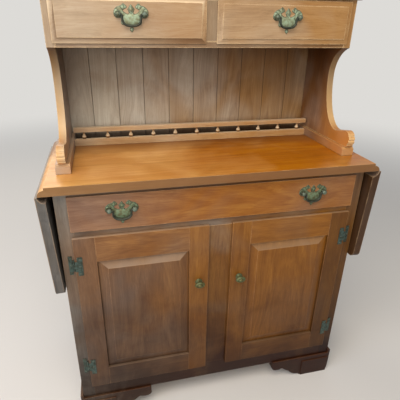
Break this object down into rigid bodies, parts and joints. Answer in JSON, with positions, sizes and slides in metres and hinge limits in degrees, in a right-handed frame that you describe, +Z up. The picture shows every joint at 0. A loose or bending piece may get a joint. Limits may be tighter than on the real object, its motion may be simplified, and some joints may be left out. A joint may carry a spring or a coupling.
{
  "type": "drop-leaf hutch cabinet",
  "caption": "Wooden kitchen cabinet: a two-door base with a wide drawer, a worktop with a drop leaf at each end, and an open hutch with small drawers above.",
  "frame": {"origin": "on the floor, under the middle of the whole piece's bounding box", "axes": "+X to the cabinet's right as seen from the front, the front faces -Y, +Z up"},
  "size_m": [0.9128, 0.4155, 1.227],
  "materials": {
    "case_wood": "aged maple, satin varnish",
    "door_wood": "aged maple, darker red-brown varnish",
    "drawer_wood": "aged maple, satin varnish",
    "top_wood": "amber maple, polished and worn at the edges",
    "hutch_wood": "pale tan maple, satin varnish",
    "back_wood": "grey-brown boards, dull varnish",
    "inner_wood": "bare secondary wood",
    "brass": "antique brass with green patina",
    "iron": "dark steel with a dull finish"
  },
  "bodies": {
    "case": {"case_sides": "case_wood", "case_bottom": "inner_wood", "case_shelf": "inner_wood", "case_back": "inner_wood", "face_stiles": "case_wood", "rail_top": "case_wood", "rail_mid": "case_wood", "rail_bottom": "case_wood", "drawer_guides": "inner_wood", "feet_front": "case_wood", "feet_rear": "case_wood", "worktop": "top_wood", "flaps_top": "iron", "prop_brackets": "iron", "hinges_frame": "brass", "hinge_pins": "iron", "hutch_sides": "hutch_wood", "hutch_shoes": "hutch_wood", "back_boards": "back_wood", "gallery_rails": "hutch_wood", "gallery_spindles": "hutch_wood", "box_floor": "hutch_wood", "box_stiles": "hutch_wood", "box_rails": "hutch_wood", "box_guides": "inner_wood", "box_roof": "hutch_wood"},
    "door_left": {"door_left_stiles": "door_wood", "door_left_rails": "door_wood", "door_left_panel": "door_wood", "door_left_knob": "brass", "hinges_door_left": "brass"},
    "door_right": {"door_right_stiles": "door_wood", "door_right_rails": "door_wood", "door_right_panel": "door_wood", "door_right_knob": "brass", "hinges_door_right": "brass"},
    "wide_drawer": {"wide_front": "drawer_wood", "wide_box": "inner_wood", "wide_bottom": "inner_wood", "plates_wide": "brass", "posts_wide": "brass"},
    "small_drawer_left": {"small_left_front": "hutch_wood", "small_left_box": "inner_wood", "plate_small_left": "brass", "posts_small_left": "brass"},
    "small_drawer_right": {"small_right_front": "hutch_wood", "small_right_box": "inner_wood", "plate_small_right": "brass", "posts_small_right": "brass"},
    "bail_1": {"bail_wide_left": "brass"},
    "bail_2": {"bail_wide_right": "brass"},
    "bail_3": {"bail_small_left": "brass"},
    "bail_4": {"bail_small_right": "brass"},
    "left_leaf": {"leaf_left": "top_wood", "flaps_left": "iron"},
    "right_leaf": {"leaf_right": "top_wood", "flaps_right": "iron"},
    "left_prop": {"prop_left": "iron"},
    "right_prop": {"prop_right": "iron"}
  },
  "joints": [
    {"name": "door_left_hinge", "type": "hinge", "parent": "case", "child": "door_left", "pos_m": [-0.3926, -0.17725, 0.3915], "axis": [0, 0, -1], "range_deg": [0, 110]},
    {"name": "door_right_hinge", "type": "hinge", "parent": "case", "child": "door_right", "pos_m": [0.3926, -0.17725, 0.3915], "axis": [0, 0, 1], "range_deg": [0, 110]},
    {"name": "wide_drawer_slide", "type": "slide", "parent": "case", "child": "wide_drawer", "axis": [0, -1, 0], "range_m": [0, 0.26]},
    {"name": "small_drawer_left_slide", "type": "slide", "parent": "case", "child": "small_drawer_left", "axis": [0, -1, 0], "range_m": [0, 0.14]},
    {"name": "small_drawer_right_slide", "type": "slide", "parent": "case", "child": "small_drawer_right", "axis": [0, -1, 0], "range_m": [0, 0.14]},
    {"name": "bail_1_hinge", "type": "hinge", "parent": "wide_drawer", "child": "bail_1", "pos_m": [-0.261, -0.19035, 0.72489], "axis": [-1, 0, 0], "range_deg": [0, 90]},
    {"name": "bail_2_hinge", "type": "hinge", "parent": "wide_drawer", "child": "bail_2", "pos_m": [0.261, -0.19035, 0.72489], "axis": [-1, 0, 0], "range_deg": [0, 90]},
    {"name": "bail_3_hinge", "type": "hinge", "parent": "small_drawer_left", "child": "bail_3", "pos_m": [-0.20175, -0.04285, 1.163], "axis": [-1, 0, 0], "range_deg": [0, 90]},
    {"name": "bail_4_hinge", "type": "hinge", "parent": "small_drawer_right", "child": "bail_4", "pos_m": [0.20175, -0.04285, 1.163], "axis": [-1, 0, 0], "range_deg": [0, 90]},
    {"name": "left_leaf_hinge", "type": "hinge", "parent": "case", "child": "left_leaf", "pos_m": [-0.434, 0.00525, 0.779], "axis": [0, 1, 0], "range_deg": [0, 92.4]},
    {"name": "right_leaf_hinge", "type": "hinge", "parent": "case", "child": "right_leaf", "pos_m": [0.434, 0.00525, 0.779], "axis": [0, -1, 0], "range_deg": [0, 92.4]},
    {"name": "left_prop_hinge", "type": "hinge", "parent": "case", "child": "left_prop", "pos_m": [-0.4245, 0.00475, 0.699], "axis": [0, 1, 0], "range_deg": [0, 138.7]},
    {"name": "right_prop_hinge", "type": "hinge", "parent": "case", "child": "right_prop", "pos_m": [0.4245, 0.00475, 0.699], "axis": [0, -1, 0], "range_deg": [0, 138.7]}
  ],
  "couplings": [
    {"joint": "left_prop_hinge", "follows": "left_leaf_hinge", "ratio": 1.5},
    {"joint": "right_prop_hinge", "follows": "right_leaf_hinge", "ratio": 1.5}
  ]
}
